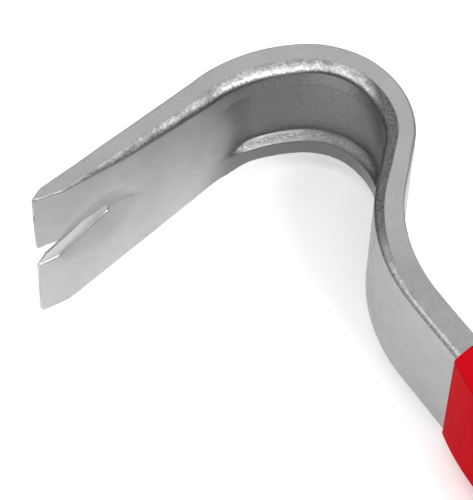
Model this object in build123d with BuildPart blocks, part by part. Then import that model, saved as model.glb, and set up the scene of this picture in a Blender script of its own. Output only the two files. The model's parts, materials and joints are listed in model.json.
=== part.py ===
"""Gooseneck nail puller: a forged steel bar with a moulded two-shell handle.

Frame, in millimetres: +X runs along the handle from the butt to the hook, +Y points to the side that the
claw turns to, and +Z is the width of the bar, so the tool lies on its side.  The origin is the middle of
the strike face, on the axis of the handle.
"""
from build123d import *
from math import atan2, cos, degrees, radians, sin, tan
import os

# Driving dimensions: the forged bar
BAR_WIDTH = 30.0
SHANK_WIDTH = 27.4
SHANK_THICKNESS = 6.6
HANDLE_LENGTH = 218.0
SHANK_RUN = 16.8                    # straight shank ahead of the handle
WIDENING_START = 14.0               # ahead of the handle, where the shank starts to widen
WIDENING_END = 50.0
S_BEND_RADIUS = 40.7                # outer side of the S-bend
S_BEND_TURN = 42.9
NECK_RUN = 12.4
LOOP_ARCS = ((27.9, 50.4), (22.5, 58.4), (38.7, 41.9))     # outer radius and turn of each stretch
LOOP_THICKNESS = (6.8, 8.2, 8.8, 7.3)                      # over the rims, at the ends of those stretches
POCKET_DEPTHS = (-0.4, 2.5, 2.6, -0.4)                     # of its floor under the rims, at the same places
POCKET_HEADROOM = 5.0
POCKET_WIDTH = 18.0
POCKET_FILLET = 2.0
RIM_FILLET = 1.8
OUTER_CHAMFER = 0.9
ON_THE_LINE = 0.05                  # an edge this near to an outline runs along it

# The claw
CLAW_LENGTH = 53.1
CLAW_TIP_WIDTH = 38.2
CLAW_TIP_FACE = 4.1                 # thickness where the inner bevel starts
INNER_BEVEL = 6.5
OUTER_BEVEL = 3.6
TIP_SETBACK = 1.2                   # the tip edge lies this far inside the outer face
TIP_EDGE = 0.5
TIP_CORNER = 0.9
NOTCH_DEPTH = 21.5
NOTCH_MOUTH = 5.8
NOTCH_ROOT = 2.0

# The hollow around the notch that takes a nail's head: two slopes that meet on the middle line of the claw
SWAGE_SLOPE = 0.28
SWAGE_SECTIONS = ((22.6, 0.6), (27.0, 5.0), (33.0, 8.6), (45.5, 6.5), (50.2, 3.9))  # distance from root, reach
SWAGE_HEADROOM = 0.5

# The tang, which runs on inside the handle
TANG_WIDTH = 22.0
TANG_START = 4.0
TANG_SHOULDER = 208.0
SLEEVE_WALL = 1.4
SLEEVE_START = 24.0
SLEEVE_END = 206.0

# The handle is a flat hexagon: (distance from the butt, half width over the ridges, half thickness)
BUTT_SECTION = (9.0, 17.4, 11.2)
EYELET_SECTION = (32.0, 16.9, 10.8)
REAR_SCREW_SECTION = (50.0, 16.4, 10.6)
FRONT_SCREW_SECTION = (173.0, 16.4, 9.0)
COLLAR_SECTION = (204.0, 17.0, 6.2)
HANDLE_SECTIONS = (
    BUTT_SECTION,
    EYELET_SECTION,
    REAR_SCREW_SECTION,
    (80.0, 16.8, 11.2),
    (111.0, 17.2, 11.6),
    (142.0, 16.8, 11.0),
    FRONT_SCREW_SECTION,
    COLLAR_SECTION,
)
COLLAR_SECTIONS = (
    COLLAR_SECTION,
    (209.0, 16.7, 5.8),
    (213.5, 16.2, 5.1),
    (HANDLE_LENGTH, 15.5, 4.0),
)
FACET_WIDTH = 26.6                  # between the corners of the wide sides
CORNER_CREASE = 0.7
RIDGE_RADIUS = 2.5

# Soft inlays
PAD_START = 62.0
PAD_END = 162.0
PAD_WIDTH = 20.0
PAD_DEPTH = 2.0
PAD_PROUD = 0.6
GROOVE_COUNT = 13
GROOVE_PITCH = 7.0
GROOVE_WIDTH = 2.0
GROOVE_DEPTH = 0.7
GROOVE_LENGTH = 14.0

# Screws and their sleeve nuts
SCREW_HEAD_RADIUS = 4.2
SCREW_HEAD_HEIGHT = 2.4
SCREW_RADIUS = 2.0
NUT_RADIUS = 3.0
NUT_REACH = 5.0                     # the nut's sleeve ends this far past the middle
HEAD_RECESS = 0.5
HEX_RADIUS = 1.5
HEX_DEPTH = 1.5

# Hang-up eyelet
HANG_HOLE_RADIUS = 4.0
EYELET_WALL = 0.8
LIP_RADIUS = 6.2
LIP_THICKNESS = 0.8
LIP_RECESS = 0.3

# Strike cap and its pin
CAP_WIDTH = 36.0
CAP_THICKNESS = 24.4
CAP_HEIGHT = 9.0
CAP_CORNER = 6.5
CAP_FILLET = 1.6
CAP_NECK_LENGTH = 12.0
CAP_NECK_WIDTH = 27.0
CAP_NECK_THICKNESS = 14.0
CAP_PIN_STATION = 15.0
CAP_PIN_RADIUS = 2.0

os.makedirs("parts", exist_ok=True)


def heading(angle):
    """Unit vector in the plane of the hook, at an angle in degrees from +X."""
    return Vector(cos(radians(angle)), sin(radians(angle)))


def inward(angle):
    """Unit vector that points to the inner side of a stretch with this heading."""
    return heading(angle + 90)


def save(piece, name):
    """Label a finished piece and write it as the STEP file of its node."""
    piece.part.label = name
    export_step(piece.part, f"parts/{name}.step")


def block(start, end, thickness, width, mode=Mode.ADD):
    """Box on the axis of the handle between two distances from the butt."""
    with Locations(((start + end) / 2, 0, 0)):
        Box(end - start, thickness, width, mode=mode)


def rod(station, radius, low, high, mode=Mode.ADD):
    """Round rod along Y between two heights, at a distance from the butt."""
    with BuildSketch(Plane.XZ.offset(-low)) as circle:
        with Locations((station, 0)):
            Circle(radius)
    extrude(circle.sketch, amount=low - high, mode=mode)


# ---------------------------------------------------------------- lines of the forged bar
# The outer line is walked from the shank to the claw; each joint of it is a point and its heading.
outer_face = -SHANK_THICKNESS / 2
shank_end = HANDLE_LENGTH + SHANK_RUN
with BuildLine() as outer_line:
    shank = Line((TANG_SHOULDER, outer_face), (shank_end, outer_face))
    bend = JernArc(shank @ 1, heading(0), S_BEND_RADIUS, -S_BEND_TURN)
    neck = PolarLine(bend @ 1, NECK_RUN, -S_BEND_TURN)
    joints = [(neck @ 1, -S_BEND_TURN)]
    for radius, turn in LOOP_ARCS:
        place, angle = joints[-1]
        arc = JernArc(place, heading(angle), radius, turn)
        joints.append((arc @ 1, angle + turn))
claw_root, claw_heading = joints[-1]
root_thickness = LOOP_THICKNESS[-1]
claw_taper = degrees(atan2(root_thickness - CLAW_TIP_FACE, CLAW_LENGTH - INNER_BEVEL))
claw_face_heading = heading(claw_heading - claw_taper)


def inside_joints(depths):
    """Points that lie under the joints of the loop by the given depths."""
    return [place + inward(angle) * depth for (place, angle), depth in zip(joints, depths)]


def claw_point(along, depth):
    """Point of the claw, by its distance from the root and its depth under the outer face."""
    return claw_root + heading(claw_heading) * along + inward(claw_heading) * depth


def claw_face_depth(along):
    """Depth of the inner face of the claw under its outer face."""
    return root_thickness - tan(radians(claw_taper)) * along


with BuildLine() as inner_line:
    inner_shank = Line((TANG_SHOULDER, -outer_face), (shank_end, -outer_face))
    inner_bend = JernArc(inner_shank @ 1, heading(0), S_BEND_RADIUS + SHANK_THICKNESS, -S_BEND_TURN)
    rims = inside_joints(LOOP_THICKNESS)
    inner_neck = Line(inner_bend @ 1, rims[0])
    Spline(*rims, tangents=[inner_neck % 1, claw_face_heading])


# ---------------------------------------------------------------- forged bar
with BuildPart() as pocket:
    floor_depths = [full - depth for full, depth in zip(LOOP_THICKNESS, POCKET_DEPTHS)]
    floor_points = inside_joints(floor_depths)
    roof_points = inside_joints([full + POCKET_HEADROOM for full in LOOP_THICKNESS])
    with BuildSketch():
        with BuildLine():
            Spline(*floor_points, tangents=[inner_neck % 1, claw_face_heading])
            Polyline(floor_points[-1], roof_points[-1], roof_points[0], floor_points[0])
        make_face()
    extrude(amount=POCKET_WIDTH / 2, both=True)
    floor_edges = pocket.edges().filter_by(GeomType.BSPLINE)
    fillet(floor_edges, POCKET_FILLET)

with BuildPart() as swage:
    for along, reach in SWAGE_SECTIONS:
        plane = Plane(
            origin=claw_point(along, claw_face_depth(along)),
            x_dir=(0, 0, 1),
            z_dir=heading(claw_heading),
        )
        spread = reach + SWAGE_HEADROOM / SWAGE_SLOPE
        valley = (0, reach * SWAGE_SLOPE)
        with BuildSketch(plane):
            with BuildLine():
                Polyline((-spread, -SWAGE_HEADROOM), valley, (spread, -SWAGE_HEADROOM), close=True)
            make_face()
    loft(ruled=True)

with BuildPart() as claw:
    with BuildSketch():
        with BuildLine():
            Polyline(
                claw_point(0, 0),
                claw_point(CLAW_LENGTH - OUTER_BEVEL, 0),
                claw_point(CLAW_LENGTH, TIP_SETBACK),
                claw_point(CLAW_LENGTH, TIP_SETBACK + TIP_EDGE),
                claw_point(CLAW_LENGTH - INNER_BEVEL, CLAW_TIP_FACE),
                claw_point(0, root_thickness),
                close=True,
            )
        make_face()
    extrude(amount=CLAW_TIP_WIDTH / 2, both=True)
    with BuildSketch(Plane(origin=claw_root, x_dir=heading(claw_heading), z_dir=inward(claw_heading))) as face:
        with BuildLine():
            Polyline(
                (0, -BAR_WIDTH / 2),
                (CLAW_LENGTH, -CLAW_TIP_WIDTH / 2),
                (CLAW_LENGTH, CLAW_TIP_WIDTH / 2),
                (0, BAR_WIDTH / 2),
                close=True,
            )
        make_face()
        with BuildLine():
            notch_root = CLAW_LENGTH - NOTCH_DEPTH + NOTCH_ROOT / 2
            Polyline(
                (notch_root, -NOTCH_ROOT / 2),
                (CLAW_LENGTH, -NOTCH_MOUTH / 2),
                (CLAW_LENGTH, NOTCH_MOUTH / 2),
                (notch_root, NOTCH_ROOT / 2),
            )
            ThreePointArc(
                (notch_root, NOTCH_ROOT / 2),
                (notch_root - NOTCH_ROOT / 2, 0),
                (notch_root, -NOTCH_ROOT / 2),
            )
        make_face(mode=Mode.SUBTRACT)
        tip_corners = face.vertices().group_by(Axis.Y)[-1]
        fillet(tip_corners, TIP_CORNER)
    extrude(amount=2 * root_thickness, both=True, mode=Mode.INTERSECT)
    by_depth = claw.faces().sort_by(lambda found: (found.center() - claw_root).dot(inward(claw_heading)))
    outer_sides = by_depth[0].edges().group_by(Axis.Z)
    inner_sides = by_depth[-1].edges().group_by(Axis.Z)
    fillet(inner_sides[0] + inner_sides[-1], RIM_FILLET)
    chamfer(outer_sides[0] + outer_sides[-1], OUTER_CHAMFER)
    add(swage.part, mode=Mode.SUBTRACT)


def long_edges(bar, line):
    """Edges of the side faces of the bar that run along one of its two outlines."""
    outline = line.wire()
    beside = bar.edges().filter_by(lambda edge: abs(edge.center().Z) > SHANK_WIDTH / 4)

    def runs_along(edge):
        middle = edge.center()
        return outline.distance_to(Vertex(middle.X, middle.Y, 0)) < ON_THE_LINE

    return beside.filter_by(runs_along)


with BuildPart() as width_limit:
    with BuildSketch(Plane.XZ):
        with BuildLine():
            widening_start = HANDLE_LENGTH + WIDENING_START
            widening_end = HANDLE_LENGTH + WIDENING_END
            Polyline((TANG_SHOULDER, 0), (TANG_SHOULDER, SHANK_WIDTH / 2), (widening_start, SHANK_WIDTH / 2))
            Spline(
                (widening_start, SHANK_WIDTH / 2),
                (widening_end, BAR_WIDTH / 2),
                tangents=[(1, 0), (1, 0)],
            )
            hook_end = widening_end + 2 * CLAW_LENGTH
            Polyline((widening_end, BAR_WIDTH / 2), (hook_end, BAR_WIDTH / 2), (hook_end, 0), (TANG_SHOULDER, 0))
        make_face()
        mirror(about=Plane.XZ)
    extrude(amount=2 * CLAW_LENGTH, both=True)

with BuildPart() as pry_bar:
    with BuildSketch():
        with BuildLine():
            add(outer_line)
            add(inner_line)
            Line(outer_line.line @ 0, inner_line.line @ 0)
            Line(outer_line.line @ 1, inner_line.line @ 1)
        make_face()
    extrude(amount=BAR_WIDTH, both=True)
    add(width_limit.part, mode=Mode.INTERSECT)
    fillet(long_edges(pry_bar, inner_line), RIM_FILLET)
    chamfer(long_edges(pry_bar, outer_line), OUTER_CHAMFER)
    add(pocket.part, mode=Mode.SUBTRACT)
    add(claw.part)
    block(TANG_START, TANG_SHOULDER, SHANK_THICKNESS, TANG_WIDTH)
    rod(EYELET_SECTION[0], HANG_HOLE_RADIUS + EYELET_WALL, outer_face, -outer_face, Mode.SUBTRACT)
    rod(CAP_PIN_STATION, CAP_PIN_RADIUS, outer_face, -outer_face, Mode.SUBTRACT)
    for section in (REAR_SCREW_SECTION, FRONT_SCREW_SECTION):
        rod(section[0], NUT_RADIUS, outer_face, -outer_face, Mode.SUBTRACT)
save(pry_bar, "pry_bar")


# ---------------------------------------------------------------- handle shells and soft inlays
def handle_half(sections, side, growth=0.0):
    """Half of the handle on one side of its middle plane, grown outwards by some millimetres."""
    outlines = []
    for station, half_width, half_thickness in sections:
        ridge = half_width + growth
        flat = half_thickness + growth
        corner = FACET_WIDTH / 2 + growth
        with BuildSketch(Plane.YZ.offset(station)) as section:
            with BuildLine():
                Polyline(
                    (flat, corner),
                    (0, ridge),
                    (-flat, corner),
                    (-flat, -corner),
                    (0, -ridge),
                    (flat, -corner),
                    close=True,
                )
            make_face()
            ridges = section.vertices().filter_by(lambda point: abs(point.Y) < flat / 2)
            corners = section.vertices().filter_by(lambda point: abs(point.Y) > flat / 2)
            fillet(corners, CORNER_CREASE)
            fillet(ridges, RIDGE_RADIUS)
            with Locations((side * HANDLE_LENGTH / 2, 0)):
                Rectangle(HANDLE_LENGTH, HANDLE_LENGTH, mode=Mode.INTERSECT)
        outlines.append(section.sketch)
    loft(outlines)


def pad_outline():
    """Plan of a soft inlay on the wide face of the handle."""
    with BuildSketch(Plane.XZ) as plan:
        with Locations(((PAD_START + PAD_END) / 2, 0)):
            SlotOverall(PAD_END - PAD_START, PAD_WIDTH)
    extrude(plan.sketch, amount=PAD_WIDTH, both=True, mode=Mode.INTERSECT)


def build_pad(side):
    """Soft inlay that fills its recess and stands a little proud, with finger grooves across it."""
    with BuildPart() as core:
        handle_half(HANDLE_SECTIONS, side, -PAD_DEPTH)
    with BuildPart() as groove_core:
        handle_half(HANDLE_SECTIONS, side, PAD_PROUD - GROOVE_DEPTH)
    with BuildPart() as grooves:
        with BuildSketch(Plane.XZ) as plan:
            with Locations(((PAD_START + PAD_END) / 2, 0)):
                with GridLocations(GROOVE_PITCH, 0, GROOVE_COUNT, 1):
                    SlotOverall(GROOVE_LENGTH, GROOVE_WIDTH, rotation=90)
        extrude(plan.sketch, amount=PAD_WIDTH, both=True)
        add(groove_core.part, mode=Mode.SUBTRACT)
    with BuildPart() as pad:
        handle_half(HANDLE_SECTIONS, side, PAD_PROUD)
        pad_outline()
        add(core.part, mode=Mode.SUBTRACT)
        add(grooves.part, mode=Mode.SUBTRACT)
    return pad


def build_recess(side):
    """Space that the soft inlay takes out of its shell."""
    with BuildPart() as core:
        handle_half(HANDLE_SECTIONS, side, -PAD_DEPTH)
    with BuildPart() as recess:
        handle_half(HANDLE_SECTIONS, side, PAD_DEPTH)
        pad_outline()
        add(core.part, mode=Mode.SUBTRACT)
    return recess


def build_shell(side):
    """Hard half shell with room for the tang, sleeve, cap neck, inlay, screws and eyelet."""
    recess = build_recess(side)
    with BuildPart() as shell:
        handle_half(HANDLE_SECTIONS, side)
        handle_half(COLLAR_SECTIONS, side)
        block(SLEEVE_START, SLEEVE_END, sleeve_thickness, sleeve_width, Mode.SUBTRACT)
        add(pry_bar.part, mode=Mode.SUBTRACT)
        block(CAP_HEIGHT, SLEEVE_START, CAP_NECK_THICKNESS, CAP_NECK_WIDTH, Mode.SUBTRACT)
        add(recess.part, mode=Mode.SUBTRACT)
        for station, _, half_thickness in (REAR_SCREW_SECTION, FRONT_SCREW_SECTION):
            seat = half_thickness - HEAD_RECESS - SCREW_HEAD_HEIGHT
            low, high = sorted((side * seat, side * 2 * half_thickness))
            rod(station, SCREW_HEAD_RADIUS, low, high, Mode.SUBTRACT)
            rod(station, NUT_RADIUS, -seat, seat, Mode.SUBTRACT)
        station, _, half_thickness = EYELET_SECTION
        seat = half_thickness - LIP_RECESS - LIP_THICKNESS
        low, high = sorted((side * seat, side * 2 * half_thickness))
        rod(station, LIP_RADIUS, low, high, Mode.SUBTRACT)
        rod(station, HANG_HOLE_RADIUS + EYELET_WALL, -seat, seat, Mode.SUBTRACT)
    return shell


sleeve_thickness = SHANK_THICKNESS + 2 * SLEEVE_WALL
sleeve_width = TANG_WIDTH + 2 * SLEEVE_WALL
for name, side in (("inner", 1), ("outer", -1)):
    save(build_shell(side), f"grip_shell_{name}")
    save(build_pad(side), f"soft_grip_{name}")

with BuildPart() as damping_sleeve:
    block(SLEEVE_START, SLEEVE_END, sleeve_thickness, sleeve_width)
    block(SLEEVE_START, SLEEVE_END, SHANK_THICKNESS, TANG_WIDTH, Mode.SUBTRACT)
    rod(EYELET_SECTION[0], HANG_HOLE_RADIUS + EYELET_WALL, -sleeve_thickness, sleeve_thickness, Mode.SUBTRACT)
    for section in (REAR_SCREW_SECTION, FRONT_SCREW_SECTION):
        rod(section[0], NUT_RADIUS, -sleeve_thickness, sleeve_thickness, Mode.SUBTRACT)
save(damping_sleeve, "damping_sleeve")


# ---------------------------------------------------------------- fasteners, eyelet and cap
def hex_socket(station, face, side):
    """Hexagon socket cut into a head from its outer face."""
    with BuildSketch(Plane.XZ.offset(-face)) as hexagon:
        with Locations((station, 0)):
            RegularPolygon(HEX_RADIUS, 6)
    extrude(hexagon.sketch, amount=side * HEX_DEPTH, mode=Mode.SUBTRACT)


with BuildPart() as handle_screws:
    for station, _, half_thickness in (REAR_SCREW_SECTION, FRONT_SCREW_SECTION):
        face = half_thickness - HEAD_RECESS
        seat = face - SCREW_HEAD_HEIGHT
        rod(station, SCREW_HEAD_RADIUS, seat, face)
        rod(station, SCREW_RADIUS, -NUT_REACH, seat)
        hex_socket(station, face, 1)
save(handle_screws, "handle_screws")

with BuildPart() as sleeve_nuts:
    for station, _, half_thickness in (REAR_SCREW_SECTION, FRONT_SCREW_SECTION):
        face = half_thickness - HEAD_RECESS
        seat = face - SCREW_HEAD_HEIGHT
        rod(station, SCREW_HEAD_RADIUS, -face, -seat)
        rod(station, NUT_RADIUS, -seat, NUT_REACH)
        rod(station, SCREW_RADIUS, -NUT_REACH, NUT_REACH, Mode.SUBTRACT)
        hex_socket(station, -face, -1)
save(sleeve_nuts, "sleeve_nuts")

with BuildPart() as hang_eyelet:
    station, _, half_thickness = EYELET_SECTION
    lip_face = half_thickness - LIP_RECESS
    lip_seat = lip_face - LIP_THICKNESS
    rod(station, HANG_HOLE_RADIUS + EYELET_WALL, -lip_face, lip_face)
    rod(station, LIP_RADIUS, lip_seat, lip_face)
    rod(station, LIP_RADIUS, -lip_face, -lip_seat)
    rod(station, HANG_HOLE_RADIUS, -lip_face, lip_face, Mode.SUBTRACT)
save(hang_eyelet, "hang_eyelet")

with BuildPart() as strike_cap:
    with BuildSketch(Plane.YZ):
        RectangleRounded(CAP_THICKNESS, CAP_WIDTH, CAP_CORNER)
    extrude(amount=CAP_HEIGHT)
    fillet(strike_cap.faces().sort_by(Axis.X)[0].edges(), CAP_FILLET)
    block(CAP_HEIGHT, CAP_HEIGHT + CAP_NECK_LENGTH, CAP_NECK_THICKNESS, CAP_NECK_WIDTH)
    block(TANG_START, CAP_HEIGHT + CAP_NECK_LENGTH, SHANK_THICKNESS, TANG_WIDTH, Mode.SUBTRACT)
    rod(CAP_PIN_STATION, CAP_PIN_RADIUS, -CAP_NECK_THICKNESS, CAP_NECK_THICKNESS, Mode.SUBTRACT)
save(strike_cap, "strike_cap")

with BuildPart() as cap_pin:
    rod(CAP_PIN_STATION, CAP_PIN_RADIUS, -CAP_NECK_THICKNESS / 2, CAP_NECK_THICKNESS / 2)
save(cap_pin, "cap_pin")
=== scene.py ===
"""Looks of the gooseneck nail puller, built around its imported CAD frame."""
import json
import math

import bmesh
import bpy
from mathutils import Matrix, Vector, noise


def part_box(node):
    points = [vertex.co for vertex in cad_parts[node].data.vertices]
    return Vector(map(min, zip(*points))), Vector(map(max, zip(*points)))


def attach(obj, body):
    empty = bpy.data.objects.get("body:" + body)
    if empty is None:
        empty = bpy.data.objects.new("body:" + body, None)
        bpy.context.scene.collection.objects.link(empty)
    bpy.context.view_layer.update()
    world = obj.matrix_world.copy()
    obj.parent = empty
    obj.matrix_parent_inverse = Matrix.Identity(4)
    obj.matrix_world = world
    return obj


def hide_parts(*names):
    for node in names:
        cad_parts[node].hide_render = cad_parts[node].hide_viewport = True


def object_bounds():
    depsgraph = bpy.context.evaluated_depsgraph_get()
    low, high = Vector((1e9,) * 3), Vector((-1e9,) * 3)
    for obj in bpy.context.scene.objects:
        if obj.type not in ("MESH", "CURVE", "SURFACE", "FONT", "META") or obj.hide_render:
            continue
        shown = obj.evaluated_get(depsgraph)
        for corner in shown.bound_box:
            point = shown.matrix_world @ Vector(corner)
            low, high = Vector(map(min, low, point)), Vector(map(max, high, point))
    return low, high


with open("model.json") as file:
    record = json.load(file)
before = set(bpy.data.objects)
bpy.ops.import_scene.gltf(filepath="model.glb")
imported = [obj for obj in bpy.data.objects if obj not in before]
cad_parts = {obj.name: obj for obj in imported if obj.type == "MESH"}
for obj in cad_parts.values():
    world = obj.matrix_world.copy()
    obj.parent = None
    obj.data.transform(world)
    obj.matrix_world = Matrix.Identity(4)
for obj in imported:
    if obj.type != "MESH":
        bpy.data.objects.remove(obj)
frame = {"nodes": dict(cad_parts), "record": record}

cad_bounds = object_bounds()

MM = 0.001
UP = Vector((0, 0, 1))
bar_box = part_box("pry_bar")
grip_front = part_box("grip_shell_inner")[1].x


# ---------------------------------------------------------------- the line of the hook
TANG_SHOULDER = 10.0 * MM          # how far the full-width shank reaches back into the handle
SHANK_RUN = 16.8 * MM
SHANK_THICKNESS = 6.6 * MM
CLAW_LENGTH = 53.1 * MM
# The stretches of the outer line: (radius, turn in degrees), or (None, length) for a straight run
HOOK = (
    (None, TANG_SHOULDER + SHANK_RUN),
    (40.7 * MM, -42.9),
    (None, 12.4 * MM),
    (27.9 * MM, 50.4),
    (22.5 * MM, 58.4),
    (38.7 * MM, 41.9),
    (None, CLAW_LENGTH),
)


def direction(angle):
    return Vector((math.cos(angle), math.sin(angle), 0))


def walk_hook():
    """Joints of the outer line: (distance along it, point, heading in radians, radius or None)."""
    place = Vector((grip_front - TANG_SHOULDER, -SHANK_THICKNESS / 2, 0))
    angle = 0.0
    distance = 0.0
    joints = []
    for radius, amount in HOOK:
        joints.append((distance, place.copy(), angle, radius))
        if radius is None:
            place += direction(angle) * amount
            distance += amount
        else:
            turn = math.radians(amount)
            side = math.copysign(1, turn)
            centre = place + direction(angle + side * math.pi / 2) * radius
            angle += turn
            place = centre - direction(angle + side * math.pi / 2) * radius
            distance += radius * abs(turn)
    joints.append((distance, place.copy(), angle, None))
    return joints


joints = walk_hook()
BEND_START, BEND_END, LOOP_START, LOOP_TURN, LOOP_TOP, CLAW_ROOT, TIP = (joint[0] for joint in joints[1:])


def on_hook(distance):
    """Point of the outer line and the heading there."""
    index = max(i for i, joint in enumerate(joints[:-1]) if joint[0] <= distance + 1e-9)
    start, place, angle, radius = joints[index]
    run = distance - start
    if radius is None:
        return place + direction(angle) * run, angle
    side = math.copysign(1, HOOK[index][1])
    centre = place + direction(angle + side * math.pi / 2) * radius
    angle += side * run / radius
    return centre - direction(angle + side * math.pi / 2) * radius, angle


# ---------------------------------------------------------------- the bar's section along the hook
def between(value, low, high):
    return min(max(value, low), high)


def ease(value):
    """Smooth step from 0 to 1."""
    value = between(value, 0, 1)
    return value * value * (3 - 2 * value)


def curve(*stops):
    """Smooth function through (distance, millimetres) stops, level or straight outside them."""
    xs = [stop[0] for stop in stops]
    ys = [stop[1] * MM for stop in stops]
    slopes = [(ys[i + 1] - ys[i]) / (xs[i + 1] - xs[i]) for i in range(len(stops) - 1)]
    bends = [slopes[0]]
    for before, after in zip(slopes, slopes[1:]):
        bends.append(0 if before * after <= 0 else 2 * before * after / (before + after))
    bends.append(slopes[-1])

    def value(x):
        if x <= xs[0]:
            return ys[0]
        if x >= xs[-1]:
            return ys[-1]
        i = max(k for k in range(len(slopes)) if xs[k] <= x)
        step = xs[i + 1] - xs[i]
        t = (x - xs[i]) / step
        return (
            (1 + 2 * t) * (1 - t) ** 2 * ys[i]
            + t * (1 - t) ** 2 * step * bends[i]
            + t * t * (3 - 2 * t) * ys[i + 1]
            - t * t * (1 - t) * step * bends[i + 1]
        )

    return value


def from_tip(millimetres):
    return TIP - millimetres * MM


ROOT_THICKNESS = 7.3 * MM
TIP_FACE = 4.1 * MM                # thickness where the inner bevel starts
INNER_BEVEL = 6.5 * MM
OUTER_BEVEL = 3.6 * MM
TIP_SETBACK = 1.2 * MM
TIP_EDGE = 0.5 * MM
claw_slope = (ROOT_THICKNESS - TIP_FACE) / (CLAW_LENGTH - INNER_BEVEL)
loop_thickness = curve(
    (0, SHANK_THICKNESS / MM),
    (BEND_END, SHANK_THICKNESS / MM),
    (LOOP_START, 6.8),
    (LOOP_TURN, 8.2),
    (LOOP_TOP, 8.8),
    (CLAW_ROOT, ROOT_THICKNESS / MM),
    (TIP, (ROOT_THICKNESS - claw_slope * CLAW_LENGTH) / MM),
)
half_width_on_bar = curve((BEND_START - 2 * MM, 13.7), (LOOP_START - 3 * MM, 15.0))
TIP_HALF_WIDTH = 19.1 * MM
ROOT_HALF_WIDTH = 15.0 * MM
TIP_CORNER = 0.9 * MM
shoulder_depth = curve(
    (BEND_START, 1.4), (BEND_END, 2.6), (LOOP_START, 3.0), (LOOP_TURN, 3.4), (LOOP_TOP, 3.6),
    (CLAW_ROOT, 2.8), (from_tip(50), 2.5), (from_tip(28), 1.4), (from_tip(17), 0.7), (from_tip(10), 0.3),
    (from_tip(0), 0.15),
)
shoulder_width = curve(
    (BEND_START, 1.2), (BEND_END, 1.9), (LOOP_START, 2.1), (LOOP_TURN, 1.8), (LOOP_TOP, 1.9),
    (CLAW_ROOT, 2.5), (from_tip(50), 2.7), (from_tip(28), 2.7), (from_tip(17), 1.7), (from_tip(10), 0.9),
    (from_tip(0), 0.2),
)
outer_rounding = curve(
    (BEND_START, 0.3), (BEND_END, 0.4), (LOOP_START, 0.8), (LOOP_TURN, 0.9), (CLAW_ROOT, 0.9),
    (from_tip(20), 0.6), (from_tip(0), 0.3),
)
SHOULDER_LIMIT = 0.6               # largest share of the thickness for a shoulder, and for an outer edge
EDGE_LIMIT = 0.3
CRISP_SHARE = 0.2                  # of the shoulder's size, along the claw on the side that lies down
CRISP_START = CLAW_ROOT - 14 * MM
CRISP_FADE = 10 * MM

# The pocket that is pressed into the inside of the loop
pocket_depth = curve(
    (LOOP_START, 0.0), (LOOP_START + 5 * MM, 1.0), (LOOP_TURN, 2.5), (LOOP_TOP, 2.6),
    (CLAW_ROOT - 14 * MM, 2.2), (CLAW_ROOT - 13 * MM, 2.15),
)
WALL_FOOT = 7.2 * MM               # from the side face to the pocket's floor, and to the crest of its rim
WALL_CREST = 5.3 * MM
# Ahead of the claw's root: where the floor starts to rise, and where it ends in the middle and at the sides
POCKET_RUN_OUT = 16.0 * MM
POCKET_END_MIDDLE = 4.0 * MM
POCKET_END_SIDE = 0.2 * MM
WALL_HIGHLIGHT = 0.31                  # how far the middle of the wall counts as a shoulder, for a painted highlight that painted highlight fades in over this stretch, ends this far ahead of the claw's root, and fades out over the last
POCKET_FADE_IN = 10 * MM           # that finish fades in over this stretch, ends this far ahead of the
POCKET_FADE_STOP = 4 * MM          # claw's root, and fades out over the last
POCKET_FADE_OUT = 6 * MM

# The nail notch and the hollow pressed around it
NOTCH_DEPTH = 21.5 * MM
NOTCH_ROOT_RADIUS = 1.0 * MM
NOTCH_MOUTH = 2.9 * MM
NOTCH_CHAMFER = 0.7 * MM
NOTCH_OUTER_CHAMFER = 0.35 * MM
NOTCH_CORNER = 0.9 * MM
CHAMFER_FADE = 2 * MM              # before the tip, over which the notch's chamfer shrinks to what is left
CHAMFER_LEFT = 0.15
CHAMFER_LIMIT = 0.4                # largest share of the thickness for the inner and the outer chamfer
OUTER_CHAMFER_LIMIT = 0.2
SWAGE_SLOPE = 0.28
SWAGE_BLEND = 1.0 * MM
swage_reach = curve(
    (from_tip(30), 0.0), (from_tip(29.2), 1.0), (from_tip(26), 5.0), (from_tip(22.8), 7.7),
    (from_tip(19.6), 8.6), (from_tip(16.6), 8.2), (from_tip(13.5), 7.8), (from_tip(7.5), 6.3),
    (from_tip(2.9), 3.9), (from_tip(0), 2.6),
)
SWAGE_START = from_tip(30)
SWAGE_FADE = 3.0 * MM              # over which the darker tone of the hollow fades in
SWAGE_APPROACH = 5 * MM            # over which the mesh moves from the pocket's border to the hollow's
SWAGE_CLEARANCE = 0.3 * MM         # least distance of the hollow's border from the slot
notch_centre = TIP - NOTCH_DEPTH + NOTCH_ROOT_RADIUS


def half_width(distance):
    if distance < CLAW_ROOT:
        return half_width_on_bar(distance)
    share = (distance - CLAW_ROOT) / CLAW_LENGTH
    wide = ROOT_HALF_WIDTH + (TIP_HALF_WIDTH - ROOT_HALF_WIDTH) * share
    into_corner = between(distance - (TIP - TIP_CORNER), 0, TIP_CORNER)
    return wide - TIP_CORNER + math.sqrt(TIP_CORNER ** 2 - into_corner ** 2)


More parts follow.
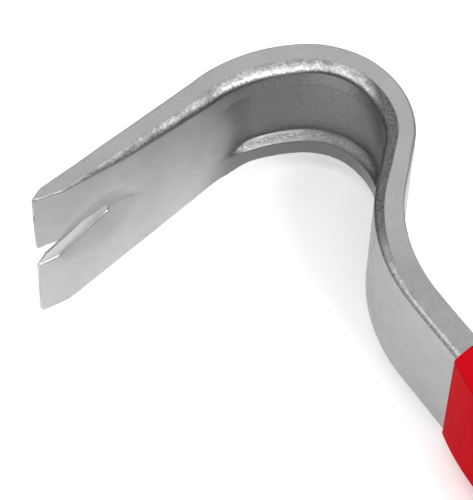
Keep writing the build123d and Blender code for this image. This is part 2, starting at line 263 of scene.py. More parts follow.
def inner_depth(distance, z):
    """Depth of the inner face under the outer face, with the pocket, the swaged hollow and the tip bevel."""
    depth = loop_thickness(distance)
    width = half_width(distance)
    z = abs(z)
    if LOOP_START < distance < CLAW_ROOT:
        run_out_start = CLAW_ROOT - POCKET_RUN_OUT
        side_share = between(z / (width - WALL_FOOT), 0, 1)
        end = CLAW_ROOT - POCKET_END_MIDDLE + (POCKET_END_MIDDLE - POCKET_END_SIDE) * side_share
        fade = 1 - ease((distance - run_out_start) / (end - run_out_start))
        pressed = pocket_depth(distance) * fade
        depth -= pressed * ease((width - WALL_CREST - z) / (WALL_FOOT - WALL_CREST))
    if distance > SWAGE_START:
        inside = swage_reach(distance) - z
        if inside < SWAGE_BLEND:
            inside = max(inside + SWAGE_BLEND, 0) ** 2 / (4 * SWAGE_BLEND)
        depth -= SWAGE_SLOPE * inside
    to_tip = TIP - distance
    if to_tip < INNER_BEVEL:
        edge = TIP_SETBACK + TIP_EDGE
        depth = min(depth, edge + (TIP_FACE - edge) * to_tip / INNER_BEVEL)
    return depth


def outer_depth(distance):
    return TIP_SETBACK * between(1 - (TIP - distance) / OUTER_BEVEL, 0, 1)


# The tang that the handle is built round
TANG_WIDTH = 22.0 * MM
TANG_CHAMFER = 0.3 * MM
TANG_OVERLAP = 1.0 * MM            # how far its front end reaches into the full-width shank
TANG_HOLES = (                     # (place along the handle, radius)
    (15 * MM, 2.0 * MM),
    (32 * MM, 4.8 * MM),
    (50 * MM, 3.0 * MM),
    (173 * MM, 3.0 * MM),
)
HOLE_STEPS = 48


# ---------------------------------------------------------------- mesh of the bar
STATION_STEP = 0.6 * MM
ROOT_STEPS = 12                    # around the blunt root of the notch
CORNER_STEPS = 8                   # around the rounded corners at the tip
FLOOR_STEPS = 10                   # round the section: pocket floor, pocket wall, rim, shoulder, side face,
WALL_STEPS = 8                     # outer edge and outer face
RIM_STEPS = 8
SHOULDER_STEPS = 10
SIDE_STEPS = 5
EDGE_STEPS = 8
OUTER_STEPS = 10
SLOT_STEPS = 4                     # up the wall of the notch, and again round its chamfer
CUT_COLUMN = slice(2, SLOT_STEPS + 2)
MERGE_DISTANCE = 0.5e-6
SHARP_ANGLE = math.radians(14)
SWELL_DEPTH = 0.045 * MM           # uneven surface: long swells and finer ripples, in waves per millimetre
SWELL_SCALE = 0.12
RIPPLE_SCALE = 0.33
RIPPLE_SHARE = 0.5
RIPPLE_OFFSET = Vector((7, 3, 1))

# What is stored on the mesh for the steel's finish and its painted light and shade, and where along the hook
# each mark starts and fades
MARKS = ("loop", "claw", "shoulder", "side", "edge", "dull", "shank", "swage", "cut")
MARK_FADE = 14 * MM
LOOP_MARK_START = LOOP_START + 2 * MM
LOOP_MARK_END = CLAW_ROOT + 4 * MM
LOOP_MARK_FLANK = 6 * MM           # it ends this much later at the side faces
LOOP_MARK_FADE_OUT = 17 * MM
CLAW_MARK_START = CLAW_ROOT - 14 * MM
NECK_MARK_START = BEND_END - 24 * MM
DULL_END = LOOP_TURN - 9 * MM      # at the top of the shoulder
DULL_SLANT = 16 * MM               # it ends this much later at the side face
DULL_FADE = 10 * MM
SIDE_TURN = 0.9                    # turn over the shoulder from which a point counts as side face
OUTER_EDGE_MARK = 0.6              # strength of the painted dark outline at the border of the outer face


def notch_rows():
    """Rows of the mesh past the notch's root.

    Each row is (station of the wall, angle round the root, half width of the slot)."""
    rows = []
    for step in range(ROOT_STEPS):
        angle = math.pi / 2 * step / ROOT_STEPS
        rows.append((notch_centre, angle, NOTCH_ROOT_RADIUS))
    straight = TIP - TIP_CORNER - notch_centre
    count = round(straight / STATION_STEP)
    stops = [notch_centre + straight * step / count for step in range(count + 1)]
    for step in range(1, CORNER_STEPS + 1):
        stops.append(TIP - TIP_CORNER * (1 - math.sin(math.pi / 2 * step / CORNER_STEPS)))
    for stop in stops:
        share = (stop - notch_centre) / (TIP - notch_centre)
        slot = NOTCH_ROOT_RADIUS + (NOTCH_MOUTH - NOTCH_ROOT_RADIUS) * share
        into_corner = between(stop - (TIP - NOTCH_CORNER), 0, NOTCH_CORNER)
        slot += NOTCH_CORNER - math.sqrt(NOTCH_CORNER ** 2 - into_corner ** 2)
        rows.append((stop, math.pi / 2, slot))
    return rows


def chamfer_share(station):
    """Share of the notch's chamfer that is left at this station."""
    return between((TIP - station) / CHAMFER_FADE, CHAMFER_LEFT, 1)


def slot_point(row, growth):
    """Station and z of the slot's outline in this row, grown by a chamfer."""
    station, angle, slot = row
    chamfer = growth * chamfer_share(station)
    return station - (slot + chamfer) * math.cos(angle), (slot + chamfer) * math.sin(angle)


def section_points(inner_station, outer_station, inner_start, outer_start, side):
    """Half section from the middle of the inner face round one side to the middle of the outer face.

    Each point is (station, depth under the outer line, z, turn over the shoulder, strength of the outer
    edge's painted dark outline)."""
    width = half_width(inner_station)
    wear = 1
    if side < 0:
        wear -= (1 - CRISP_SHARE) * ease((inner_station - CRISP_START) / CRISP_FADE)
    rise = shoulder_depth(inner_station) * wear
    reach = shoulder_width(inner_station) * wear
    edge = outer_rounding(outer_station)
    foot = width - WALL_FOOT
    crest = width - WALL_CREST
    to_swage = ease((inner_station - (SWAGE_START - SWAGE_APPROACH)) / SWAGE_APPROACH)
    if to_swage > 0:
        border = max(swage_reach(inner_station), inner_start + SWAGE_CLEARANCE)
        foot += ((inner_start + border) / 2 - foot) * to_swage
        crest += (border - crest) * to_swage
    points = []
    shade = WALL_HIGHLIGHT * ease((inner_station - LOOP_START) / POCKET_FADE_IN)
    shade *= ease((CLAW_ROOT - POCKET_FADE_STOP - inner_station) / POCKET_FADE_OUT)
    stretches = (
        (inner_start, foot, FLOOR_STEPS, 0),
        (foot, crest, WALL_STEPS, shade),
        (crest, width - reach, RIM_STEPS, 0),
    )
    for start, end, count, wear_and_highlight in stretches:
        for step in range(count):
            z = start + (end - start) * step / count
            turn = wear_and_highlight * math.sin(math.pi * step / count)
            points.append((inner_station, inner_depth(inner_station, z), z, turn, 0))
    top = inner_depth(inner_station, width - reach)
    low = outer_depth(outer_station)
    rise = min(rise, (top - low) * SHOULDER_LIMIT)
    edge = min(edge, (top - low) * EDGE_LIMIT)
    for step in range(SHOULDER_STEPS + 1):
        share = step / SHOULDER_STEPS
        angle = math.pi / 2 * step / SHOULDER_STEPS
        depth = top - rise * (1 - math.cos(angle))
        points.append((inner_station, depth, width - reach * (1 - math.sin(angle)), share, 0))
    for step in range(1, SIDE_STEPS):
        share = step / SIDE_STEPS
        station = inner_station + (outer_station - inner_station) * share
        depth = top - rise + (low + edge - top + rise) * share
        points.append((station, depth, half_width(station), 1, 0))
    outer_width = half_width(outer_station)
    for step in range(EDGE_STEPS + 1):
        angle = math.pi / 2 * step / EDGE_STEPS
        z = outer_width - edge * (1 - math.cos(angle))
        depth = low + edge * (1 - math.sin(angle))
        points.append((outer_station, depth, z, 1, math.sin(2 * angle)))
    for step in range(1, OUTER_STEPS + 1):
        z = outer_width - edge + (outer_start - outer_width + edge) * step / OUTER_STEPS
        points.append((outer_station, low, z, 0, OUTER_EDGE_MARK * (1 - step / OUTER_STEPS) ** 2))
    return points


def wall_points(row):
    """Strip of the notch's wall from the outer face's end to the inner face's start."""
    outer = slot_point(row, NOTCH_OUTER_CHAMFER)
    wall = slot_point(row, 0)
    inner = slot_point(row, NOTCH_CHAMFER)
    low = outer_depth(outer[0])
    top = inner_depth(inner[0], inner[1])
    chamfer = min(NOTCH_CHAMFER * chamfer_share(row[0]), (top - low) * CHAMFER_LIMIT)
    foot = low + min(NOTCH_OUTER_CHAMFER, (top - low) * OUTER_CHAMFER_LIMIT)
    points = [(outer[0], low, outer[1], 0, 1), (wall[0], foot, wall[1], 0, 1)]
    for step in range(1, SLOT_STEPS + 1):
        points.append((wall[0], foot + (top - chamfer - foot) * step / SLOT_STEPS, wall[1], 0, 0))
    for step in range(1, SLOT_STEPS + 1):
        turn = math.pi / 2 * step / SLOT_STEPS
        across = 1 - math.cos(turn)
        station = wall[0] + (inner[0] - wall[0]) * across
        z = wall[1] + (inner[1] - wall[1]) * across
        points.append((station, top - chamfer * (1 - math.sin(turn)), z, 0, 0))
    return points


def bar_grids(side):
    """The half bar on one side as grids of (station, depth, z) rows: the body, and the wall of the notch."""
    body = []
    rows = notch_rows()
    first_inner = slot_point(rows[0], NOTCH_CHAMFER)[0]
    first_outer = slot_point(rows[0], NOTCH_OUTER_CHAMFER)[0]
    count = round(first_outer / STATION_STEP)
    for step in range(count):
        share = step / count
        body.append(section_points(first_inner * share, first_outer * share, 0, 0, side))
    for row in rows:
        inner = slot_point(row, NOTCH_CHAMFER)
        outer = slot_point(row, NOTCH_OUTER_CHAMFER)
        body.append(section_points(inner[0], outer[0], inner[1], outer[1], side))
    return body, [wall_points(row) for row in rows]


def in_space(station, depth, z):
    place, angle = on_hook(between(station, 0, TIP))
    return place + direction(angle + math.pi / 2) * depth + UP * z


def mark_points(mesh, points, verts):
    """Store where each point lies: in the loop (painted shade of the pocket), in the claw, on a shoulder, on
    a side face, on an outer edge (painted dark outline), where the shoulders keep their dark scale, on the
    shank, and in the hollow round the notch.

    The cut wall of the notch gets its mark in build_hook."""
    layers = {name: mesh.verts.layers.float[name] for name in MARKS}
    for (station, depth, z, turn, outer_mark), vert in zip(points, verts):
        inner = depth > loop_thickness(station) / 2
        flank = abs(z) / half_width(station)
        start = ease((station - LOOP_MARK_START) / MARK_FADE)
        end = ease((LOOP_MARK_END + LOOP_MARK_FLANK * flank - station) / LOOP_MARK_FADE_OUT)
        neck = ease((station - NECK_MARK_START) / MARK_FADE)
        # The loop mark carries the painted shade of the pocket
        vert[layers["loop"]] = start * end * (1 - turn) if inner else 0
        vert[layers["claw"]] = ease((station - CLAW_MARK_START) / MARK_FADE)
        vert[layers["shoulder"]] = turn
        vert[layers["side"]] = ease((turn - SIDE_TURN) / (1 - SIDE_TURN))
        vert[layers["edge"]] = outer_mark * neck
        vert[layers["dull"]] = neck * ease((DULL_END + DULL_SLANT * turn - station) / DULL_FADE)
        vert[layers["shank"]] = 1 - neck
        if inner:
            vert[layers["swage"]] = ease((swage_reach(station) - abs(z)) / SWAGE_FADE)


def add_grid(mesh, grid, mirror):
    columns = []
    for row in grid:
        verts = [mesh.verts.new(in_space(station, depth, z * mirror)) for station, depth, z, _, _ in row]
        mark_points(mesh, row, verts)
        columns.append(verts)
    for before, after in zip(columns, columns[1:]):
        for i in range(len(before) - 1):
            corners = [before[i], before[i + 1], after[i + 1], after[i]]
            if mirror < 0:
                corners.reverse()
            mesh.faces.new(corners)
    return columns


def link(name, mesh):
    """Make an object of a bmesh, smooth except across sharp edges."""
    data = bpy.data.meshes.new(name)
    mesh.to_mesh(data)
    mesh.free()
    data.shade_smooth()
    data.set_sharp_from_angle(angle=SHARP_ANGLE)
    piece = bpy.data.objects.new(name, data)
    bpy.context.scene.collection.objects.link(piece)
    return piece


def build_hook(mesh):
    cut = mesh.verts.layers.float["cut"]
    for mirror in (1, -1):
        body, wall = bar_grids(mirror)
        columns = add_grid(mesh, body, mirror)
        strip = add_grid(mesh, wall, mirror)
        for column in strip:
            for vert in column[CUT_COLUMN]:
                vert[cut] = 1
        tip = columns[-1] + strip[-1][1:-1]
        mesh.faces.new(tip if mirror > 0 else tip[::-1])
        if mirror > 0:
            shoulder = list(columns[0])
        else:
            shoulder += columns[0][::-1][1:-1]
    mesh.faces.new(shoulder[::-1])
    bmesh.ops.remove_doubles(mesh, verts=mesh.verts, dist=MERGE_DISTANCE)


def outline(curve_data, points):
    """Closed outline of straight runs through (x, z) points."""
    spline = curve_data.splines.new("POLY")
    spline.points.add(len(points) - 1)
    for point, (x, z) in zip(spline.points, points):
        point.co = (x, z, 0, 1)
    spline.use_cyclic_u = True


def build_tang(mesh):
    """The narrower tang inside the handle, with the holes for the pin, the eyelet and the nuts."""
    plate = bpy.data.curves.new("tang", "CURVE")
    plate.dimensions = "2D"
    plate.fill_mode = "BOTH"
    plate.extrude = SHANK_THICKNESS / 2 - TANG_CHAMFER
    plate.bevel_depth = TANG_CHAMFER
    plate.bevel_resolution = 0
    plate.offset = -TANG_CHAMFER
    rear = bar_box[0].x
    front = grip_front - TANG_SHOULDER + TANG_OVERLAP
    half = TANG_WIDTH / 2
    outline(plate, [(rear, -half), (front, -half), (front, half), (rear, half)])
    for x, radius in TANG_HOLES:
        turns = [2 * math.pi * step / HOLE_STEPS for step in range(HOLE_STEPS)]
        outline(plate, [(x + radius * math.cos(turn), radius * math.sin(turn)) for turn in turns])
    carrier = bpy.data.objects.new("tang", plate)
    data = bpy.data.meshes.new_from_object(carrier)
    data.transform(Matrix.Rotation(math.pi / 2, 4, "X"))
    mesh.from_mesh(data)
    bpy.data.objects.remove(carrier)
    bpy.data.curves.remove(plate)
    bpy.data.meshes.remove(data)


def build_bar():
    mesh = bmesh.new()
    build_tang(mesh)
    bmesh.ops.remove_doubles(mesh, verts=mesh.verts, dist=MERGE_DISTANCE)
    for mark in MARKS:
        mesh.verts.layers.float.new(mark)
    build_hook(mesh)
    bmesh.ops.recalc_face_normals(mesh, faces=mesh.faces)
    bar = link("forged_bar", mesh)
    normals = [vertex.normal.copy() for vertex in bar.data.vertices]
    for vertex, normal in zip(bar.data.vertices, normals):
        spot = vertex.co / MM
        ripple = noise.noise(spot * RIPPLE_SCALE + RIPPLE_OFFSET)
        swell = noise.noise(spot * SWELL_SCALE) + RIPPLE_SHARE * ripple
        vertex.co += normal * SWELL_DEPTH * swell
    return bar


bar = build_bar()
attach(bar, "root")
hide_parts("pry_bar")


# ---------------------------------------------------------------- camera
CAMERA_HEADING = math.radians(-32.43)
CAMERA_ELEVATION = math.radians(50)
CAMERA_ROLL = math.radians(1.8)
CAMERA_DISTANCE = 424.2 * MM
LENS = 142.98
SENSOR_WIDTH = 36
NEAR_CLIP = 0.01
AIM_AHEAD = 46.6 * MM              # of the handle's front end, and towards the claw
AIM_ASIDE = 28.4 * MM
aim = Vector((grip_front + AIM_AHEAD, AIM_ASIDE, ROOT_HALF_WIDTH))


def make_camera():
    forward = direction(CAMERA_HEADING) * math.cos(CAMERA_ELEVATION) - UP * math.sin(CAMERA_ELEVATION)
    right = forward.cross(UP).normalized()
    upward = right.cross(forward)
    turned_right = right * math.cos(CAMERA_ROLL) + upward * math.sin(CAMERA_ROLL)
    turned_up = upward * math.cos(CAMERA_ROLL) - right * math.sin(CAMERA_ROLL)
    data = bpy.data.cameras.new("camera")
    data.lens = LENS
    data.sensor_width = SENSOR_WIDTH
    data.clip_start = NEAR_CLIP
    camera = bpy.data.objects.new("camera", data)
    bpy.context.scene.collection.objects.link(camera)
    rotation = Matrix((turned_right, turned_up, -forward)).transposed()
    camera.matrix_world = Matrix.Translation(aim - forward * CAMERA_DISTANCE) @ rotation.to_4x4()
    bpy.context.scene.camera = camera


make_camera()


# ---------------------------------------------------------------- node helpers
def grey(level):
    return (level, level, level)


class Nodes:
    """Short way to add and join the nodes of one material or world."""

    def __init__(self, owner):
        owner.use_nodes = True
        self.tree = owner.node_tree

    def add(self, kind, **inputs):
        node = self.tree.nodes.new(kind)
        for name, value in inputs.items():
            self.put(node.inputs[name.replace("_", " ")], value)
        return node

    def put(self, socket, value):
        if isinstance(value, bpy.types.NodeSocket):
            self.tree.links.new(value, socket)
        elif isinstance(value, tuple) and socket.type == "RGBA":
            socket.default_value = (*value, 1)
        else:
            socket.default_value = value

    def place(self):
        """Where the point lies in the frame, in metres."""
        return self.add("ShaderNodeTexCoord").outputs["Object"]

    def along(self, axis):
        """The point's coordinate along one axis."""
        return self.add("ShaderNodeSeparateXYZ", Vector=self.place()).outputs[axis]

    def squeezed_place(self, factors):
        """The point's place with each axis multiplied by a factor, which draws a pattern out along some."""
        node = self.add("ShaderNodeMapping", Vector=self.place())
        node.inputs["Scale"].default_value = factors
        return node.outputs["Vector"]

    def noise(self, scale_per_mm, detail=2.0, roughness=0.5, vector=None):
        """Noise texture in the frame's own space, between 0 and 1."""
        place = vector or self.place()
        node = self.add("ShaderNodeTexNoise", Vector=place, Scale=scale_per_mm / MM, Detail=detail)
        node.inputs["Roughness"].default_value = roughness
        return node.outputs["Fac"]

    def ramp(self, value, low, high, to_low=0.0, to_high=1.0):
        """Straight ramp of a value, held at its ends."""
        node = self.add("ShaderNodeMapRange", Value=value)
        node.inputs["From Min"].default_value = low
        node.inputs["From Max"].default_value = high
        node.inputs["To Min"].default_value = to_low
        node.inputs["To Max"].default_value = to_high
        return node.outputs["Result"]

    def math(self, operation, first, second):
        node = self.add("ShaderNodeMath")
        node.operation = operation
        self.put(node.inputs[0], first)
        self.put(node.inputs[1], second)
        return node.outputs["Value"]

    def times(self, first, second):
        return self.math("MULTIPLY", first, second)

    def plus(self, first, second):
        return self.math("ADD", first, second)

    def mix(self, share, first, second):
        """Blend of two colours."""
        node = self.add("ShaderNodeMix")
        node.data_type = "RGBA"
        self.put(node.inputs["Factor"], share)
        self.put(node.inputs[6], first)
        self.put(node.inputs[7], second)
        return node.outputs[2]

    def greys(self, share, levels):
        """Blend of two grey levels."""
        return self.mix(share, grey(levels[0]), grey(levels[1]))

    def scale(self, colour, factor):
        """Colour made brighter or darker by a factor."""
        node = self.add("ShaderNodeVectorMath")
        node.operation = "SCALE"
        self.put(node.inputs[0], colour)
        self.put(node.inputs["Scale"], factor)
        return node.outputs["Vector"]

    def mark(self, name):
        """Value that the mesh carries for this purpose, 0 where it has none."""
        node = self.add("ShaderNodeAttribute")
        node.attribute_name = name
        return node.outputs["Fac"]

    def bump(self, height, strength, depth_mm, below=None):
        node = self.add("ShaderNodeBump", Height=height, Strength=strength, Distance=depth_mm * MM)
        if below is not None:
            self.put(node.inputs["Normal"], below)
        return node.outputs["Normal"]


def surface(name):
    """New material with its nodes and its main shader."""
    material = bpy.data.materials.new(name)
    nodes = Nodes(material)
    return material, nodes, nodes.tree.nodes["Principled BSDF"]


def set_shader(nodes, shader, **inputs):
    for name, value in inputs.items():
        nodes.put(shader.inputs[name.replace("_", " ")], value)


# ---------------------------------------------------------------- materials
FACE_GREYS = (0.46, 0.51)
FLECK_GREY = 0.25
# Painted shade of the pocket of the loop
POCKET_GREYS = (0.165, 0.215)
SCALE_GREY = 0.13
HAMMERED_GREYS = (0.75, 0.33)
DULL_GREYS = (0.1, 0.2)
CUT_GREY = 0.8
# Painted shade: the dark outline along the outer edges
EDGE_GREY = 0.1
SCRATCH_FACTORS = (1.4, 1.4, 0.8)


def open_faces(nodes, flecks, blasted, across):
    """Tone of the open faces, with painted light and shade: the claw painted lighter towards the side that
    lies down and on its side faces, the shank painted darker.
    """
    clouds = nodes.noise(0.09, 3.0)
    claw = nodes.mark("claw")
    tone = nodes.greys(nodes.ramp(clouds, 0.3, 0.7), FACE_GREYS)
    most = nodes.ramp(blasted, 0.0, 1.0, 0.14, 0.28)
    tone = nodes.mix(nodes.times(nodes.ramp(flecks, 0.35, 0.65), most), tone, grey(FLECK_GREY))
    # Painted light and shade: the claw lighter towards the side that lies down, darker towards the side that
    # faces up
    face_level_and_painted_light = nodes.ramp(across, -ROOT_HALF_WIDTH, ROOT_HALF_WIDTH, 0.08, -0.2)
    face_level_and_painted_light = nodes.times(claw, nodes.plus(face_level_and_painted_light, 0.05))
    face_level_and_painted_light = nodes.plus(face_level_and_painted_light, nodes.ramp(blasted, 0.0, 1.0, 0.82, 1.0))
    face_level_and_painted_light = nodes.math("SUBTRACT", face_level_and_painted_light, nodes.times(nodes.mark("swage"), 0.05))
    # Painted light: the claw's side faces made lighter
    face_level_and_painted_light = nodes.plus(face_level_and_painted_light, nodes.times(nodes.times(claw, blasted), 0.12))
    # Painted shade: the shank made darker, more so on its side faces
    painted_shank_shade = nodes.times(nodes.mark("shank"), nodes.ramp(blasted, 0.0, 1.0, 0.07, 0.16))
    return nodes.scale(tone, nodes.math("SUBTRACT", face_level_and_painted_light, painted_shank_shade))


def add_pocket(nodes, tone):
    """Painted shade in the pocket of the loop, streaked with fine scratches."""
    scratches = nodes.noise(1.3, 5.0, 0.75, nodes.squeezed_place(SCRATCH_FACTORS))
    dark = nodes.greys(nodes.ramp(scratches, 0.4, 0.62), POCKET_GREYS)
    return nodes.mix(nodes.ramp(nodes.mark("loop"), 0.0, 1.0, 0.0, 0.92), tone, dark)


def add_shoulders(nodes, tone, flecks, smears, wear_and_highlight, across):
    """Burnished shoulders with a dark line along their top, and dark scale where they stay unworn; the
    pocket's wall gets the burnished tone as a painted highlight.
    """
    pits = nodes.noise(1.9, 3.0, 0.6)
    ragged = nodes.plus(wear_and_highlight, nodes.ramp(pits, 0.25, 0.75, -0.16, 0.16))
    scale_line = nodes.times(nodes.ramp(wear_and_highlight, 0.02, 0.12), nodes.ramp(ragged, 0.28, 0.4, 1.0, 0.0))
    # Painted light: the dark line made fainter towards the side that lies down
    scale_line = nodes.times(scale_line, nodes.ramp(across, 0.0, 6 * MM, 0.45, 1.0))
    tone = nodes.mix(nodes.times(scale_line, 0.75), tone, grey(SCALE_GREY))
    # On the middle of the pocket's wall this burnished tone is a painted highlight
    burnished = nodes.times(nodes.ramp(ragged, 0.3, 0.45), nodes.ramp(wear_and_highlight, 0.85, 1.0, 1.0, 0.0))
    hammered = nodes.greys(nodes.ramp(flecks, 0.36, 0.64), HAMMERED_GREYS)
    hammered = nodes.scale(hammered, nodes.ramp(smears, 0.35, 0.65, 0.75, 1.15))
    strength = nodes.ramp(nodes.mark("shank"), 0.0, 1.0, 0.85, 0.4)
    tone = nodes.mix(nodes.times(burnished, strength), tone, hammered)
    scaled = nodes.greys(nodes.ramp(flecks, 0.4, 0.62), DULL_GREYS)
    rounding = nodes.times(nodes.ramp(ragged, 0.0, 0.15), nodes.ramp(wear_and_highlight, 0.93, 1.0, 1.0, 0.0))
    return nodes.mix(nodes.times(rounding, nodes.mark("dull")), tone, scaled)


def steel_skin(nodes, flecks, blasted, wear_and_highlight):
    """Fine grain everywhere, and coarser dents on the shoulders."""
    grain = nodes.noise(2.4, 3.0, 0.6)
    fine = nodes.bump(grain, nodes.ramp(blasted, 0.0, 1.0, 0.22, 0.5), 0.06)
    rounded = nodes.times(nodes.ramp(wear_and_highlight, 0.02, 0.2), nodes.ramp(wear_and_highlight, 0.85, 1.0, 1.0, 0.0))
    rounded = nodes.times(rounded, nodes.ramp(nodes.mark("shank"), 0.0, 1.0, 1.0, 0.3))
    return nodes.bump(flecks, nodes.ramp(rounded, 0.0, 1.0, 0.05, 0.6), 0.18, fine)


def forged_steel():
    """Bright forged steel: blasted faces, burnished shoulders, painted shade in the pocket and a painted
    dark outline along the outer edges.
    """
    material, nodes, shader = surface("forged_steel")
    flecks = nodes.noise(1.5, 4.0, 0.7)
    smears = nodes.noise(0.3, 2.0)
    wear_and_highlight = nodes.mark("shoulder")
    blasted = nodes.mark("side")
    across = nodes.along("Z")
    tone = open_faces(nodes, flecks, blasted, across)
    tone = add_pocket(nodes, tone)
    tone = add_shoulders(nodes, tone, flecks, smears, wear_and_highlight, across)
    tone = nodes.mix(nodes.mark("cut"), tone, grey(CUT_GREY))
    # Painted shade: a dark outline along the outer edges and the notch's outer chamfer, from the neck
    # onwards
    tone = nodes.mix(nodes.times(nodes.mark("edge"), 0.7), tone, grey(EDGE_GREY))
    rough = nodes.plus(nodes.ramp(smears, 0.3, 0.7, 0.34, 0.44), nodes.times(blasted, 0.1))
    skin = steel_skin(nodes, flecks, blasted, wear_and_highlight)
    set_shader(nodes, shader, Base_Color=tone, Metallic=1.0, Roughness=rough, Normal=skin)
    return material


# Both are lower than in a real plastic: more gloss mirrors the white surroundings and turns the red pink
RED_IOR = 1.08
RED_SPECULAR = 0.1
SEAM_HALF_WIDTH = 0.08 * MM
SEAM_EDGE = 0.2 * MM


def red_plastic():
    """Hard moulded plastic with a faint orange-peel skin, a few scuffs and a parting line."""
    material, nodes, shader = surface("red_plastic")
    clouds = nodes.noise(0.06, 2.0)
    peel = nodes.noise(1.1, 2.0)
    scuffs = nodes.noise(0.35, 5.0, 0.7)
    tone = nodes.mix(nodes.ramp(clouds, 0.3, 0.7), (0.47, 0.003, 0.009), (0.53, 0.005, 0.012))
    tone = nodes.mix(nodes.ramp(scuffs, 0.66, 0.74, 0.0, 0.12), tone, (0.7, 0.12, 0.12))
    rough = nodes.ramp(scuffs, 0.4, 0.75, 0.3, 0.42)
    off_middle = nodes.math("ABSOLUTE", nodes.along("Y"), 0.0)
    seam = nodes.ramp(off_middle, SEAM_HALF_WIDTH, SEAM_EDGE)
    tone = nodes.mix(seam, (0.16, 0.002, 0.004), tone)
    skin = nodes.bump(seam, 0.6, 0.15, nodes.bump(peel, 0.12, 0.1))
    set_shader(nodes, shader, Base_Color=tone, Roughness=rough, Normal=skin)
    set_shader(nodes, shader, IOR=RED_IOR, Specular_IOR_Level=RED_SPECULAR)
    return material


def soft_black():
    """Soft moulded inlay with a matt leather-like grain."""
    material, nodes, shader = surface("soft_black")
    grain = nodes.noise(1.6, 4.0, 0.6)
    dust = nodes.noise(0.15, 3.0)
    tone = nodes.mix(nodes.ramp(dust, 0.4, 0.7), (0.02, 0.02, 0.021), (0.036, 0.036, 0.038))
    rough = nodes.ramp(grain, 0.3, 0.7, 0.55, 0.75)
    skin = nodes.bump(grain, 0.5, 0.12)
    set_shader(nodes, shader, Base_Color=tone, Roughness=rough, Normal=skin, Specular_IOR_Level=0.3)
    return material


def sleeve_rubber():
    """Plain rubber of the sleeve inside the handle."""
    material, nodes, shader = surface("sleeve_rubber")
    grain = nodes.noise(0.8, 3.0)
    tone = nodes.mix(grain, (0.04, 0.04, 0.04), (0.07, 0.07, 0.07))
    set_shader(nodes, shader, Base_Color=tone, Roughness=nodes.ramp(grain, 0.3, 0.7, 0.6, 0.8))
    return material


def turned_steel(name, low, high, rough_low, rough_high, factors):
    """Bright steel with fine marks of the tool, drawn out along one direction."""
    material, nodes, shader = surface(name)
    marks = nodes.noise(0.6, 4.0, 0.6, nodes.squeezed_place(factors))
    clouds = nodes.noise(0.9, 4.0, 0.7)
    tone = nodes.mix(nodes.ramp(clouds, 0.3, 0.7), low, high)
    rough = nodes.ramp(marks, 0.3, 0.7, rough_low, rough_high)
    skin = nodes.bump(marks, 0.3, 0.05)
    set_shader(nodes, shader, Base_Color=tone, Metallic=1.0, Roughness=rough, Normal=skin)
    return material


TABLE_GLOW = 0.36


def white_table():
    """Pale plain table that glows a little, as a light table does."""
    material, nodes, shader = surface("white_table")
    clouds = nodes.noise(0.004, 2.0)
    tone = nodes.mix(clouds, (0.86, 0.86, 0.86), (0.9, 0.9, 0.9))
    set_shader(nodes, shader, Base_Color=tone, Roughness=0.9, Specular_IOR_Level=0.0)
    set_shader(nodes, shader, Emission_Color=tone, Emission_Strength=TABLE_GLOW)
    return material


FASTENER_GREYS = ((0.42, 0.42, 0.43), (0.52, 0.52, 0.52))
EYELET_GREYS = ((0.62, 0.62, 0.6), (0.7, 0.7, 0.68))
CAP_GREYS = ((0.35, 0.35, 0.36), (0.41, 0.41, 0.42))
MATERIALS = {
    "forged_steel": forged_steel(),
    "red_plastic": red_plastic(),
    "soft_black": soft_black(),
    "sleeve_rubber": sleeve_rubber(),
    "fastener_steel": turned_steel("fastener_steel", *FASTENER_GREYS, 0.25, 0.4, (1, 1, 1)),
    "eyelet_steel": turned_steel("eyelet_steel", *EYELET_GREYS, 0.12, 0.22, (1, 6, 1)),
    "cap_steel": turned_steel("cap_steel", *CAP_GREYS, 0.3, 0.45, (6, 1, 1)),
}
node_slots = {part["node"]: part["material_slot"] for part in frame["record"]["subparts"]}
for name, node in frame["nodes"].items():
    for slot in node.material_slots:
        slot.material = MATERIALS[node_slots[name]]
bar.data.materials.append(MATERIALS["forged_steel"])


# ---------------------------------------------------------------- light
BACKDROP_LIGHT = 1.0
CAMERA_SIDE_LIGHT = 0.2
ZENITH_SHARE = 0.35
LIGHT_DISTANCE = 0.8
FLOOR_HALF_SIZE = 2.0


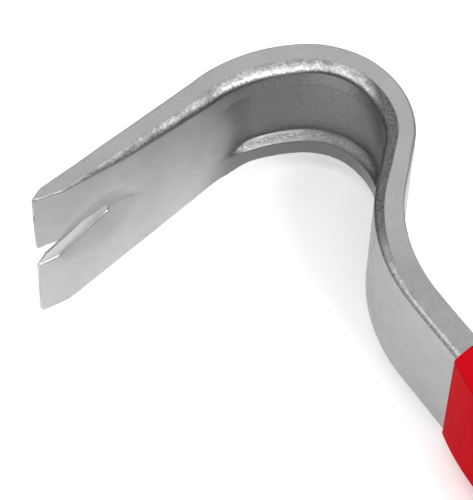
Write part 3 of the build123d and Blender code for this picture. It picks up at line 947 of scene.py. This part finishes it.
def make_world():
    """White sweep behind the object, a darker room behind the camera."""
    world = bpy.data.worlds.new("studio")
    bpy.context.scene.world = world
    nodes = Nodes(world)
    background = nodes.tree.nodes["Background"]
    outward = nodes.add("ShaderNodeTexCoord").outputs["Generated"]
    toward_camera = direction(CAMERA_HEADING + math.pi)
    facing = nodes.add("ShaderNodeVectorMath")
    facing.operation = "DOT_PRODUCT"
    nodes.put(facing.inputs[0], outward)
    facing.inputs[1].default_value = toward_camera
    level = nodes.ramp(facing.outputs["Value"], -0.2, 0.7, BACKDROP_LIGHT, CAMERA_SIDE_LIGHT)
    height = nodes.add("ShaderNodeSeparateXYZ", Vector=outward).outputs["Z"]
    level = nodes.math("MULTIPLY", level, nodes.ramp(height, 0.72, 1.0, 1.0, ZENITH_SHARE))
    nodes.put(background.inputs["Strength"], level)
    background.inputs["Color"].default_value = (1, 1, 1, 1)


def area_light(name, heading_degrees, elevation_degrees, size, power):
    light = bpy.data.lights.new(name, "AREA")
    light.shape = "RECTANGLE"
    light.size, light.size_y = size
    light.energy = power
    lamp = bpy.data.objects.new(name, light)
    bpy.context.scene.collection.objects.link(lamp)
    heading = math.radians(heading_degrees)
    elevation = math.radians(elevation_degrees)
    outward = direction(heading) * math.cos(elevation) + UP * math.sin(elevation)
    lamp.location = aim + outward * LIGHT_DISTANCE
    lamp.rotation_euler = outward.to_track_quat("Z", "Y").to_euler()


def make_floor():
    mesh = bmesh.new()
    height = cad_bounds[0][2]
    corners = []
    for x, y in ((-1, -1), (1, -1), (1, 1), (-1, 1)):
        corners.append(mesh.verts.new((x * FLOOR_HALF_SIZE, y * FLOOR_HALF_SIZE, height)))
    mesh.faces.new(corners)
    floor = link("floor", mesh)
    floor.data.materials.append(white_table())


make_world()
area_light("side_softbox", 192, 42, (0.3, 0.26), 4.2)
area_light("rim_softbox", 57, 58, (0.2, 0.16), 0.7)
area_light("top_softbox", 160, 78, (0.5, 0.5), 2.2)
make_floor()
bpy.context.scene.view_settings.view_transform = "Standard"
